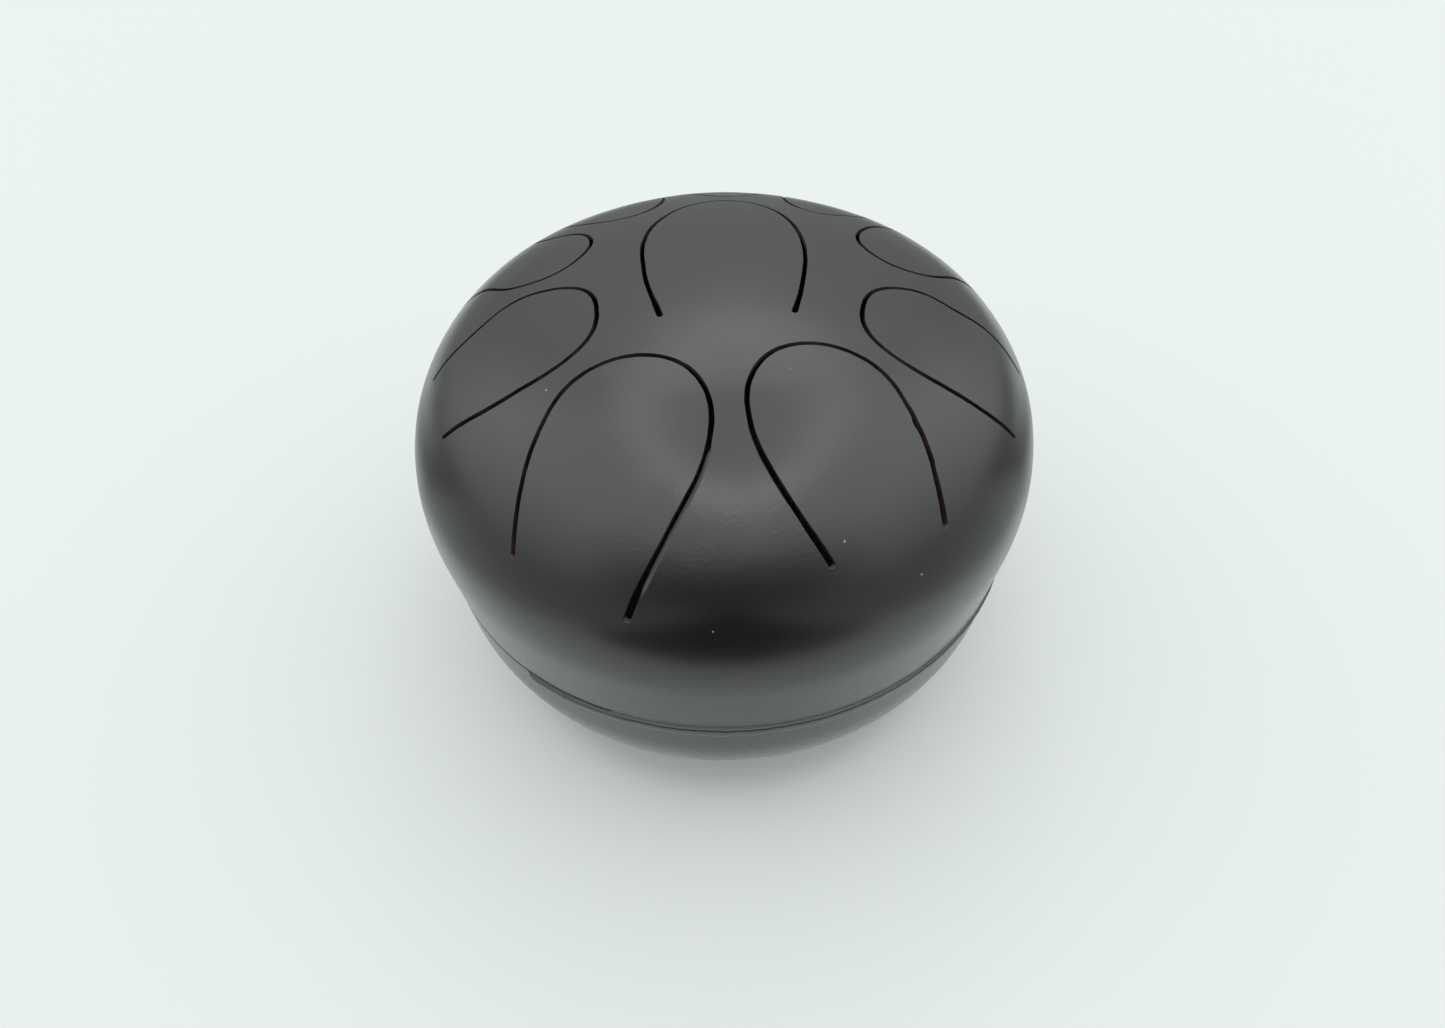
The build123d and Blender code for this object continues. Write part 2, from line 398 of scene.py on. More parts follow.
def join(*edges):
    return tuple(np.concatenate(parts) for parts in zip(*edges))


# Where the hand-cut slot ends lie off the plan: (inward, across) at the start and the end.
END_SHIFT = {
    "tongue_front_left": (mm(-1.8, -1.4), mm(-0.3, -0.6)),
    "tongue_front_right": (mm(2.7, 1.9), mm(-1.5, 2.0)),
    "tongue_left": (mm(-1.3, -2.7), mm(0.2, -1.3)),
    "tongue_right": (mm(-2.4, 0.7), mm(-5.0, 6.0)),
    "tongue_centre": (mm(-0.7, -0.4), mm(-0.3, 0.6)),
}
# Where a side of the slot runs in towards the tongue's middle: (side, inward, reach, depth).
WAISTS = {
    "tongue_left": ((-1, *mm(18.7, 15.6, 5.2)),),
    "tongue_right": ((-1, *mm(24.9, 10.6, 0.8)), (1, *mm(28.0, 11.7, 3.0))),
    "tongue_rear_left": ((-1, *mm(41.5, 15.0, 7.8)), (1, *mm(31.3, 17.3, 7.8))),
    "tongue_rear_right": ((-1, *mm(29.5, 20.3, 8.5)),),
}
# The tips' shapes: (how far short of the plan, 2 for an ellipse and more for a squarer
# tip, how much further the last side reaches in than the first).
TIPS = {
    "tongue_left": (1.2 * MM, 2.43, -4.0 * MM),
    "tongue_right": (1.3 * MM, 2.45, 1.7 * MM),
    "tongue_rear_left": (0.9 * MM, 2.4, -0.9 * MM),
    "tongue_rear_right": (1.4 * MM, 2.3, 1.2 * MM),
    "tongue_centre": (0.4 * MM, 2.07, 2.5 * MM),
}
# Slot ends that the saw left wide: (at the last end, length, extra half width).
END_FLARE = {
    "tongue_front_left": ((True, *mm(24, 0.5)),),
    "tongue_front_right": ((False, *mm(24, 0.3)), (True, *mm(34, 0.25))),
    "tongue_centre": ((False, *mm(15, 0.2)), (True, *mm(18, 0.22))),
    "tongue_back_left": ((False, *mm(20, 0.5)), (True, *mm(20, 0.5))),
    "tongue_back_right": ((False, *mm(20, 0.5)), (True, *mm(20, 0.5))),
}
# Stretches that the saw cut twice: (from, to, as shares of the path, how soon the cut
# steps aside, how far outwards, extra half width).
SAW_MARKS = {
    "tongue_front_right": (
        (0.81, 0.92, *mm(0.8, 0.34, 0.14)),
        (0.83, 0.855, *mm(0.8, -0.34, 0.22)),
    ),
    "tongue_centre": ((-0.02, 0.05, *mm(5, -0.25, 0.1)),),
}
# Stretches whose outer wall the saw cut aslant: (from, to, as shares of the path, how far
# the wall's top lies back, how far its foot stands in).
SLANTS = {
    "tongue_front_left": ((0.72, 0.985, *mm(0.8, 0.7)),),
    "tongue_front_right": ((0.10, 0.28, *mm(0.4, 0.3)),),
}

SLOTS = [Slot(joint) for joint in frame["joints"]]
PATHS = np.concatenate([flat_of(slot.s, slot.theta) for slot in SLOTS])

LIP_REACH = 5 * MM
LIP_HEIGHT = 0.05 * MM


def slot_lip(s, theta):
    """The sheet rises a little beside each cut."""
    near = nearest(flat_of(s, theta), PATHS)
    return LIP_HEIGHT * np.exp(-near / LIP_REACH**2)


# Soft dents and swells of the note shell: (radius, azimuth in degrees, reach, height), in mm.
DENTS = (
    (122, 258.0, 7, -0.15),
    (116.4, 262.0, 6, 0.13),
    (118.8, 252.0, 8, 0.15),
    (126, 265.2, 6, -0.14),
    (130.8, 274.0, 9, 0.14),
    (108, 281.0, 12, 0.06),
    (76, 90.0, 38, 1.0),
)


def note_relief(s, theta, lift=None):
    """Height of the note shell's skin above its true outline."""
    point = NOTE.basis(s, theta)[0]
    total = np.minimum(waves(point) + slot_lip(s, theta), BOX_MARGIN * 0.8)
    for radius, azimuth, reach, height in DENTS:
        a, out = math.radians(azimuth), radius * MM
        gap = (point[:, 0] - out * math.cos(a)) ** 2 + (point[:, 1] - out * math.sin(a)) ** 2
        total = total + height * MM * np.exp(-gap / (reach * MM) ** 2)
    if lift:
        total = total + lift(point)
    return total


def skin(s, theta, depth, lift=None):
    """Points and normals of the note shell at a depth under its skin."""
    s = np.maximum(s, NEAR_POLE)
    h = 0.25 * MM
    point, normal, down, around, r = NOTE.basis(s, theta)
    height = note_relief(s, theta, lift)
    turn = h / np.maximum(r, 10 * NEAR_POLE)
    outward = note_relief(s + h, theta, lift) - note_relief(np.maximum(s - h, 0), theta, lift)
    sideways = note_relief(s, theta + turn, lift) - note_relief(s, theta - turn, lift)
    tipped = normal - (outward / (2 * h))[:, None] * down - (sideways / (2 * h))[:, None] * around
    tipped /= np.linalg.norm(tipped, axis=1)[:, None]
    return point + (height - depth)[:, None] * normal, tipped


# ---- meshes

SMOOTH_QUARTER = (0.0, 0.5, 1.0)
# Material slots of a shell piece.
OUTER_FACE, CUT_AND_SHADE_FACE, INNER_FACE = 0, 1, 2
SLOT_KINDS = (OUTER_FACE, OUTER_FACE, CUT_AND_SHADE_FACE, CUT_AND_SHADE_FACE)
RIM_KINDS = (OUTER_FACE, OUTER_FACE, OUTER_FACE, INNER_FACE)


def edge_levels(edge, rounding, lift=None, slant=(0.0, 0.0)):
    """Points and normals down a cut edge: the rounded top corner, the wall, the lower corner."""
    s, theta, way = edge
    top, foot = slant
    run = SHEET - 2 * rounding
    wall = np.hypot(run, top + foot)
    wall_up, wall_toward = (top + foot) / wall, run / wall
    rows = []
    for part in SMOOTH_QUARTER:
        angle = part * math.pi / 2
        back = rounding * (1 - math.sin(angle)) + top
        depth = rounding * (1 - math.cos(angle))
        rows.append((back, depth, math.cos(angle) + part * wall_up, math.sin(angle) * wall_toward))
    rows.append((-foot, SHEET - rounding, wall_up, wall_toward))
    rows.append((rounding - foot, SHEET, -1.0, 0.0))
    out = []
    for back, depth, up, toward in rows:
        at_s, at_theta = step(s, theta, way, back)
        point, normal = skin(at_s, at_theta, np.broadcast_to(depth, s.shape), lift)
        up, toward = np.broadcast_to(up, s.shape), np.broadcast_to(toward, s.shape)
        facing = up[:, None] * normal - toward[:, None] * way
        facing /= np.linalg.norm(facing, axis=1)[:, None]
        out.append((at_s, at_theta, point, facing))
    return out


def inside(polygon, points):
    """Which points lie in a closed polygon."""
    x, y = points.T
    hit = np.zeros(len(points), bool)
    ax, ay = polygon.T
    bx, by = np.roll(polygon, -1, 0).T
    for i in range(len(polygon)):
        if ay[i] != by[i]:
            cross = (ay[i] > y) != (by[i] > y)
            hit ^= cross & (x < (bx[i] - ax[i]) * (y - ay[i]) / (by[i] - ay[i]) + ax[i])
    return hit


def lattice():
    """Evenly spread surface stations over the note shell, from the pole to the rim."""
    s_all, theta_all = [np.array([0.0])], [np.array([0.0])]
    rings = int(NOTE.rim / LATTICE)
    for i in range(1, rings):
        s = i * NOTE.rim / rings
        r = np.interp(s, NOTE.s, NOTE.r)
        count = max(6, int(2 * math.pi * r / LATTICE))
        theta = (np.arange(count) + 0.5 * (i % 2)) * 2 * math.pi / count
        s_all.append(np.full(count, s))
        theta_all.append(theta)
    return np.concatenate(s_all), np.concatenate(theta_all)


LATTICE_S, LATTICE_THETA = lattice()
FLAT = flat_of(LATTICE_S, LATTICE_THETA)


def clear_of(points, loops):
    """Which points keep clear of every station of the loops."""
    near = np.full(len(points), np.inf)
    for loop in loops:
        near = np.minimum(near, nearest(points, loop))
    return near > EDGE_CLEARANCE**2


def put(name, data):
    """A new object in the scene."""
    made = bpy.data.objects.new(name, data)
    bpy.context.scene.collection.objects.link(made)
    return made


def make_piece(name, points, faces, normals, kinds, materials, node):
    """A smooth mesh that stands for a CAD node, which it hides, with the given materials."""
    mesh = bpy.data.meshes.new(name)
    mesh.from_pydata(points.tolist(), [], faces)
    for material in materials:
        mesh.materials.append(material)
    mesh.polygons.foreach_set("material_index", kinds)
    mesh.shade_smooth()
    mesh.normals_split_custom_set_from_vertices(normals.tolist())
    piece = put(name, mesh)
    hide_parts(node)
    return piece


class Sheet:
    """A piece of the note shell's sheet: skin, cut edges and inner face, closed."""

    def __init__(self, lift=None):
        self.lift = lift
        self.points, self.normals, self.faces, self.kinds = [], [], [], []
        self.count = 0

    def add(self, points, normals):
        """Adds vertices and returns their indices."""
        self.points.append(points)
        self.normals.append(normals)
        first = self.count
        self.count += len(points)
        return np.arange(first, self.count)

    def cover(self, loops, keep, holes, within):
        """Triangulates the skin between loops of stations, and the inner face under it."""
        s = np.concatenate([l[0] for l in loops] + [LATTICE_S[keep]])
        theta = np.concatenate([l[1] for l in loops] + [LATTICE_THETA[keep]])
        edges, first = [], 0
        for loop in loops:
            n = len(loop[0])
            edges += [(first + i, first + (i + 1) % n) for i in range(n)]
            first += n
        flat = flat_of(s, theta)
        made = delaunay_2d_cdt([Vector(p) for p in flat * PLAN_SCALE], edges, [], 0, PLAN_EPSILON)
        source = [o[0] for o in made[3]]
        tris = np.array([[source[i] for i in f] for f in made[2]])
        middle = flat[tris].mean(1)
        good = inside(within, middle)
        for hole in holes:
            good &= ~inside(hole, middle)
        tris = tris[good]
        a, b, c = (flat[tris[:, i]] for i in range(3))
        turned = (b - a)[:, 0] * (c - a)[:, 1] - (b - a)[:, 1] * (c - a)[:, 0] < 0
        tris[turned] = tris[turned][:, ::-1]
        top, top_n = skin(s, theta, np.zeros(len(s)), self.lift)
        low, low_n = skin(s, theta, np.full(len(s), SHEET), self.lift)
        top_i = self.add(top, top_n)
        low_i = self.add(low, -low_n)
        self.faces += top_i[tris].tolist() + low_i[tris[:, ::-1]].tolist()
        self.kinds += [OUTER_FACE] * len(tris) + [INNER_FACE] * len(tris)
        return top_i, low_i

    def wall(self, rings, closed, kinds):
        """Quads between rings of vertices, with the sheet on the left of the path."""
        n = len(rings[0])
        for upper, lower, kind in zip(rings, rings[1:], kinds):
            for i in range(n if closed else n - 1):
                j = (i + 1) % n
                self.faces.append([lower[i], lower[j], upper[j], upper[i]])
                self.kinds.append(kind)

    def build(self, node, materials):
        points, normals = np.concatenate(self.points), np.concatenate(self.normals)
        faces = [[int(i) for i in face] for face in self.faces]
        return make_piece(
            node + "_skin", points, faces, normals, self.kinds, materials, node
        )


def close_edge(sheet, levels, top_i, low_i, root_top, root_low):
    """Wall along a slot, and the plain wall along the root line that closes the loop."""
    rings = [top_i]
    for s, theta, point, facing in levels[1:-1]:
        rings.append(sheet.add(point, facing))
    rings.append(low_i)
    sheet.wall(rings, False, SLOT_KINDS)
    upper = np.concatenate([[top_i[-1]], root_top, [top_i[0]]])
    lower = np.concatenate([[low_i[-1]], root_low, [low_i[0]]])
    sheet.wall([upper, lower], False, (INNER_FACE,))
    sheet.faces.append([ring[0] for ring in rings])
    sheet.faces.append([ring[-1] for ring in rings[::-1]])
    sheet.kinds += [INNER_FACE, INNER_FACE]


def make_tongue(slot, materials):
    """One tongue, its tip a little off the shell's outline, bending along its root."""

    def lift(point):
        inward = np.maximum((point[:, :2] - slot.root) @ slot.inward, 0)
        share = np.minimum(inward / slot.length, 1)
        return slot.rise * share**2 * (1.5 - 0.5 * share)

    edge = reverse(slot.tongue_edge)
    sheet = Sheet(lift)
    levels = edge_levels(edge, EDGE_ROUND, lift)
    loop_s = np.concatenate([levels[0][0], slot.root_s[::-1]])
    loop_theta = np.concatenate([levels[0][1], slot.root_theta[::-1]])
    flat = flat_of(loop_s, loop_theta)
    keep = inside(flat, FLAT)
    keep[keep] = clear_of(FLAT[keep], [flat])
    top_i, low_i = sheet.cover([(loop_s, loop_theta)], keep, [], flat)
    n = len(levels[0][0])
    m = len(slot.root_s)
    close_edge(sheet, levels, top_i[:n], low_i[:n], top_i[n : n + m], low_i[n : n + m])
    piece = sheet.build(slot.name, materials)
    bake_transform(piece)


def make_note_shell(materials):
    """The upper shell, open along each slot and under each tongue."""
    sheet = Sheet()
    loops, holes, levels = [], [], []
    for slot in SLOTS:
        level = edge_levels(slot.shell_edge, EDGE_ROUND, None, slot.shell_slant)
        levels.append(level)
        s = np.concatenate([level[0][0], slot.root_s])
        theta = np.concatenate([level[0][1], slot.root_theta])
        loops.append((s, theta))
        holes.append(flat_of(s, theta))
    theta = all_round(RIM_STATIONS)
    s = np.full(RIM_STATIONS, NOTE.rim)
    point, normal, down, around, r = NOTE.basis(s, theta)
    rim = edge_levels((s, theta, -down), RIM_ROUND)
    outline = flat_of(rim[0][0], rim[0][1])
    keep = np.ones(len(FLAT), bool)
    for hole in holes:
        keep &= ~inside(hole, FLAT)
    keep[keep] = clear_of(FLAT[keep], holes)
    keep &= LATTICE_S < NOTE.rim - RIM_ROUND - RIM_CLEARANCE
    loops.append((rim[0][0], rim[0][1]))
    top_i, low_i = sheet.cover(loops, keep, holes, outline)
    first = 0
    for slot, level in zip(SLOTS, levels):
        n, m = len(level[0][0]), len(slot.root_s)
        a, b = first + n, first + n + m
        close_edge(sheet, level, top_i[first:a], low_i[first:a], top_i[a:b], low_i[a:b])
        first = b
    rings = [top_i[first : first + RIM_STATIONS]]
    for at_s, at_theta, point, facing in rim[1:-1]:
        rings.append(sheet.add(point, facing))
    rings.append(low_i[first : first + RIM_STATIONS])
    sheet.wall(rings, True, RIM_KINDS)
    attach(sheet.build("note_shell", materials), "drum")


def ring_piece(name, points, kinds, materials, node):
    """A closed ring of points[outline, azimuth], anticlockwise with the radius to the right."""
    rows, columns = points.shape[:2]
    along = np.roll(points, -1, 0) - np.roll(points, 1, 0)
    around = np.roll(points, -1, 1) - np.roll(points, 1, 1)
    normals = np.cross(around, along)
    normals /= np.linalg.norm(normals, axis=2)[..., None]
    index = np.arange(rows * columns).reshape(rows, columns)
    nxt, side = np.roll(index, -1, 0), np.roll(index, -1, 1)
    corner = np.roll(nxt, -1, 1)
    faces = np.stack([index, side, corner, nxt], -1).reshape(-1, 4).tolist()
    face_kinds = np.repeat(kinds, columns).astype(int).tolist()
    points, normals = points.reshape(-1, 3), normals.reshape(-1, 3)
    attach(make_piece(name, points, faces, normals, face_kinds, materials, node), "drum")


def rounded(corners, radii, count=4):
    """A closed outline with its corners rounded, as (radius, height) rows."""
    corners = np.array(corners, float)
    out = []
    n = len(corners)
    for i in range(n):
        here, radius = corners[i], radii[i]
        before, after = corners[i - 1] - here, corners[(i + 1) % n] - here
        if radius == 0:
            out.append(here)
            continue
        before /= np.linalg.norm(before)
        after /= np.linalg.norm(after)
        half = math.acos(np.clip(before @ after, -1, 1)) / 2
        reach = radius / math.tan(half)
        start, end = here + before * reach, here + after * reach
        middle = here + (before + after) / np.linalg.norm(before + after) * radius / math.sin(half)
        a, b = start - middle, end - middle
        sweep = math.pi - 2 * half
        for k in range(count + 1):
            t = k / count
            p = (math.sin((1 - t) * sweep) * a + math.sin(t * sweep) * b) / math.sin(sweep)
            out.append(middle + p)
    return np.array(out)


def revolve(r, z, theta):
    """points[outline, azimuth] of an outline that may change with the azimuth."""
    return np.stack(np.broadcast_arrays(r * np.cos(theta), r * np.sin(theta), z), -1)


def all_round(count):
    """Evenly spaced angles round a whole turn."""
    return np.arange(count) * 2 * math.pi / count


WELD_STATIONS = 960
WELD_CAP_ROWS = 14
# The stretch ground nearly flat, in degrees of azimuth, how soon it starts and ends, and
# the share of the bead that was ground off.
THIN_WELD = (-175.0, -126.6)
THIN_SOFT = (12, 0.8)
THINNED = 0.94
# How far the bead's top sinks where the run started, by azimuth, and a pit beside it.
SUNK_AT = (-127.0, -126.4, -124.0, -119.4, -118.2, -114.0, -110.0, -107.0)
SUNK = (0.0, 2.3, 2.4, 2.3, 1.6, 1.2, 0.5, 0.0)
PIT = -119.0
PIT_REACH = 1.1
PIT_DEPTH = 0.5
# The bead's thickness and its top and low edges below the seam, in mm: the mean, the
# (spacing, size) of its lumps, and the limits.
PROUD, PROUD_LUMPS, PROUD_LIMITS = 1.0, ((22, 0.10), (7, 0.06)), (0.06, 1.12)
TOP, TOP_LUMPS = -0.4, ((30, 0.12), (8, 0.08))
LOW, LOW_LUMPS, LOW_THINNED = 6.1, ((35, 0.25), (9, 0.16)), 2.4
EDGE_LIMIT = 0.05 * MM
# Ripples that the torch left across the bead: their height, spacing and curve.
RIPPLE = 0.05 * MM
RIPPLE_STEP = 2.1 * MM
RIPPLE_CURVE = 1.1
# How deep the groove over the bead is cut, the root run lies back and the bead is sunk in.
GROOVE = 2.2 * MM
ROOT_RUN = 0.5 * MM
BEAD_SEAT = 0.08 * MM
# The base shell's rim gives way under the sunk stretch, over this length and after this
# much of the sinking, in mm.
NOTCH_REACH = 8 * MM
NOTCH_ONSET = 0.2


def azimuths(theta):
    """Angles in degrees from -180 to 180."""
    azimuth = np.degrees(theta)
    return np.where(azimuth > 180, azimuth - 360, azimuth)


def make_base_shell(materials):
    """The lower shell, from the port's edge to the rim, skin and inner face."""
    port = float(BASE.along(PORT_RADIUS))
    theta = all_round(BASE_STATIONS)
    e = EDGE_ROUND
    stations = [port + e, port + 2 * e]
    stations += list(np.linspace(port + 3 * e, BASE.rim - 3 * RIM_ROUND, BASE_ROWS))
    stations += [BASE.rim - RIM_ROUND * 1.5, BASE.rim - RIM_ROUND]
    rows = [(s, 0.0) for s in stations]
    rows += [(BASE.rim - 0.3 * RIM_ROUND, 0.3 * RIM_ROUND), (BASE.rim, RIM_ROUND)]
    rows += [(BASE.rim, SHEET - RIM_ROUND), (BASE.rim - RIM_ROUND, SHEET)]
    rows += [(s, SHEET) for s in stations[::-1][2:]]
    rows += [(port, SHEET - e), (port, e), (port + 0.3 * e, 0.3 * e)]
    points = []
    notch = np.maximum(np.interp(azimuths(theta), SUNK_AT, SUNK) - NOTCH_ONSET, 0) * MM
    for s, depth in rows:
        near_rim = max(0.0, (s - BASE.rim) / NOTCH_REACH + 1)
        point, normal, down, around, r = BASE.basis(s - notch * near_rim, theta)
        uneven = np.minimum(waves(point), BOX_MARGIN * 0.5)
        points.append(point + (uneven - depth)[:, None] * normal)
    points = np.array(points)
    inner = len(stations) - 2
    kinds = [OUTER_FACE] * (len(stations) + 3) + [INNER_FACE] * (inner + 1)
    kinds += [OUTER_FACE] * (len(rows) - len(kinds))
    ring_piece("base_shell_skin", points, kinds, materials, "base_shell")


def make_weld(materials):
    """The waist weld: root run in the gap, a groove painted dark as shade, and a lumpy rippled bead
    below it.
    """
    theta = all_round(WELD_STATIONS)
    azimuth = azimuths(theta)
    arc = theta * BASE_RADIUS
    loop = 2 * math.pi * BASE_RADIUS

    def lumpy(total, lumps):
        """A mean with lumps of several spacings, each a few seeded waves round the waist."""
        for spacing, size in lumps:
            uneven = 0
            for repeat in range(5):
                turns = round(loop / (spacing * MM * rng.uniform(0.6, 1.7)))
                gain = rng.uniform(0.4, 1)
                uneven = uneven + gain * np.sin(turns * theta + rng.uniform(0, 2 * math.pi))
            total = total + size * (uneven / 2.2)
        return total

    thin = ease((azimuth - THIN_WELD[0]) / THIN_SOFT[0] + 0.5)
    thin = thin * ease((THIN_WELD[1] - azimuth) / THIN_SOFT[1] + 0.5)
    sunk = np.interp(azimuth, SUNK_AT, SUNK)
    pit = np.exp(-(((azimuth - PIT) / PIT_REACH) ** 2))
    proud = lumpy(PROUD, PROUD_LUMPS) * (1 - THINNED * thin)
    proud = np.clip(proud, *PROUD_LIMITS) * MM
    top = SEAM_Z + (lumpy(TOP, TOP_LUMPS) - sunk - PIT_DEPTH * pit) * MM
    top = np.minimum(top, SEAM_Z - EDGE_LIMIT)
    low = SEAM_Z - (lumpy(LOW, LOW_LUMPS) - LOW_THINNED * thin) * MM
    low = np.maximum(low, WELD_BOX[0].z + EDGE_LIMIT)
    ones = np.ones(len(theta))
    inner, deep = (BASE_RADIUS - SHEET) * ones, (BASE_RADIUS - GROOVE) * ones
    run = (BASE_RADIUS - ROOT_RUN) * ones
    rim_top, rim_low = (SEAM_Z + WELD_GAP / 2) * ones, (SEAM_Z - WELD_GAP / 2) * ones
    outline = [(inner, rim_top), (inner, rim_low), (run, rim_low - 0.1 * MM), (run, low)]
    for k in range(WELD_CAP_ROWS):
        t = k / (WELD_CAP_ROWS - 1)
        bulge = (1 - (2 * t - 1) ** 4) ** 0.5
        phase = arc / RIPPLE_STEP - RIPPLE_CURVE * (2 * t - 1) ** 2
        ripple = RIPPLE * np.sin(2 * math.pi * phase) * bulge
        r = BASE_RADIUS - BEAD_SEAT + proud * bulge + ripple * (1 - thin)
        outline.append((r, low + (top - low) * t))
    outline += [(deep, top + 0.1 * MM), (deep, rim_top)]
    r, z = np.moveaxis(np.array(outline), 1, 0)
    points = revolve(r, z, theta)
    # The groove's faces take the dark slot-wall material: painted shade in the groove.
    kinds = [OUTER_FACE] * (len(outline) - 3) + [CUT_AND_SHADE_FACE] * 3
    ring_piece("waist_weld_bead", points, kinds, materials, "waist_weld")


TRIM_WALL = 1.6 * MM
TRIM_SOFT = 0.7 * MM
TRIM_FIRM = 0.2 * MM
TRIM_STATIONS = 144


def make_trim(materials):
    """The port's rubber edge trim: a round-cornered channel over the sheet's edge."""
    outer = TRIM_BOX[1].x - BOX_MARGIN / 2
    port = PORT_RADIUS
    bore = port - TRIM_WALL

    def skin_z(r):
        return float(np.interp(r, BASE.r[: BASE.widest], BASE.z[: BASE.widest]))

    wall = TRIM_WALL - BOX_MARGIN
    corners = (
        (outer, skin_z(outer)),
        (port, skin_z(port)),
        (port, skin_z(port) + SHEET),
        (outer, skin_z(outer) + SHEET),
        (outer, skin_z(outer) + SHEET + wall),
        (bore, skin_z(bore) + SHEET + wall),
        (bore, skin_z(bore) - wall),
        (outer, skin_z(outer) - wall),
    )
    radii = (TRIM_FIRM, 0, 0, TRIM_FIRM, TRIM_SOFT, TRIM_SOFT, TRIM_SOFT, TRIM_SOFT)
    outline = rounded(corners, radii)
    points = revolve(outline[:, :1], outline[:, 1:], all_round(TRIM_STATIONS))
    kinds = [OUTER_FACE] * len(outline)
    ring_piece("port_trim_rubber", points, kinds, materials, "port_trim")


# ---- materials


class Graph:
    """Short calls for building a node tree."""

    def __init__(self, tree):
        self.tree = tree
        tree.nodes.clear()

    def add(self, kind, inputs=None, **settings):
        node = self.tree.nodes.new(kind)
        for key, value in settings.items():
            setattr(node, key, value)
        for key, value in (inputs or {}).items():
            self.feed(node.inputs[key], value)
        return node

    def feed(self, socket, value):
        if isinstance(value, bpy.types.NodeSocket):
            self.tree.links.new(value, socket)
        else:
            socket.default_value = value

    def math(self, operation, *values):
        return self.add("ShaderNodeMath", dict(enumerate(values)), operation=operation).outputs[0]

    def plus(self, a, b):
        return self.math("ADD", a, b)

    def minus(self, a, b):
        return self.math("SUBTRACT", a, b)

    def times(self, a, b):
        return self.math("MULTIPLY", a, b)

    def over(self, a, b):
        return self.math("DIVIDE", a, b)

    def length(self, u, v):
        return self.math("SQRT", self.plus(self.times(u, u), self.times(v, v)))

    def ramp(self, value, low, high, to_low=0.0, to_high=1.0, shape="SMOOTHSTEP"):
        """Turns low..high into to_low..to_high, held at its ends."""
        inputs = dict(enumerate((value, low, high, to_low, to_high)))
        return self.add("ShaderNodeMapRange", inputs, interpolation_type=shape).outputs[0]

    def blend(self, factor, a, b):
        """Number between a and b."""
        return self.plus(a, self.times(factor, self.minus(b, a)))

    def mix(self, factor, a, b):
        """Colour between a and b."""
        return self.add("ShaderNodeMix", {0: factor, 6: a, 7: b}, data_type="RGBA").outputs[2]

    def split(self, vector):
        return self.add("ShaderNodeSeparateXYZ", {0: vector}).outputs[:]

    def dress(self, tone, rough, constants=None):
        """Sets the shader's colour and roughness, and its constants on their own sockets."""
        for socket, value in {"Base Color": tone, "Roughness": rough, **(constants or {})}.items():
            self.feed(self.shader.inputs[socket], value)

    def bump(self, height, distance):
        node = self.add("ShaderNodeBump", {"Height": height, "Distance": distance, "Strength": 1.0})
        self.feed(self.shader.inputs["Normal"], node.outputs[0])

    def noise(self, place, scale, detail=2.0, rough=0.5):
        inputs = {"Vector": place, "Scale": scale, "Detail": detail, "Roughness": rough}
        return self.add("ShaderNodeTexNoise", inputs).outputs[0]

    def near(self, place, spot, size):
        """1 at a spot, falling to 0 at a distance from it."""
        gap = self.add("ShaderNodeVectorMath", {0: place, 1: spot}, operation="DISTANCE")
        return self.ramp(gap.outputs["Value"], size, size * 0.4)

    def flat_distance(self, place, halves):
        """Distance from the axis in plan, with each direction measured in its half width."""
        u, v = (self.over(part, half) for part, half in zip(self.split(place), halves))
        return self.length(u, v)

    def specks(self, place, scale, share, size):
        """1 in small dots at a share of the cells of a lattice, else 0."""
        cells = self.add("ShaderNodeTexVoronoi", {"Vector": place, "Scale": scale})
        tone = self.add("ShaderNodeSeparateColor", {0: cells.outputs["Color"]})
        chosen = self.math("LESS_THAN", tone.outputs[0], share)
        dot = self.ramp(cells.outputs["Distance"], size, size * 0.5)
        return self.times(chosen, dot)


def new_material(name):
    material = bpy.data.materials.new(name)
    material.use_nodes = True
    graph = Graph(material.node_tree)
    out = graph.add("ShaderNodeOutputMaterial")
    shader = graph.add("ShaderNodeBsdfPrincipled")
    graph.tree.links.new(shader.outputs[0], out.inputs[0])
    graph.shader = shader
    return material, graph, graph.add("ShaderNodeTexCoord").outputs["Object"]


# Colours, a pair where noise blends from one to the other.
BLACK = ((0.0031, 0.0036, 0.0034, 1), (0.0042, 0.0046, 0.0042, 1))
PINHOLE = (0.002, 0.002, 0.002, 1)
DUST = (0.13, 0.13, 0.125, 1)
GLOSS = (0.22, 0.27)
ENAMEL_IOR = 1.52
RUSTY = ((0.010, 0.008, 0.0075, 1), (0.030, 0.013, 0.011, 1))
# Grey for a cut wall's upward faces: painted light.
CUT_PAINTED_LIGHT = (0.050, 0.050, 0.051, 1)
MILL_SCALE = ((0.03, 0.028, 0.026, 1), (0.09, 0.075, 0.062, 1))
ZINC_TONES = ((0.42, 0.43, 0.43, 1), (0.66, 0.66, 0.62, 1))


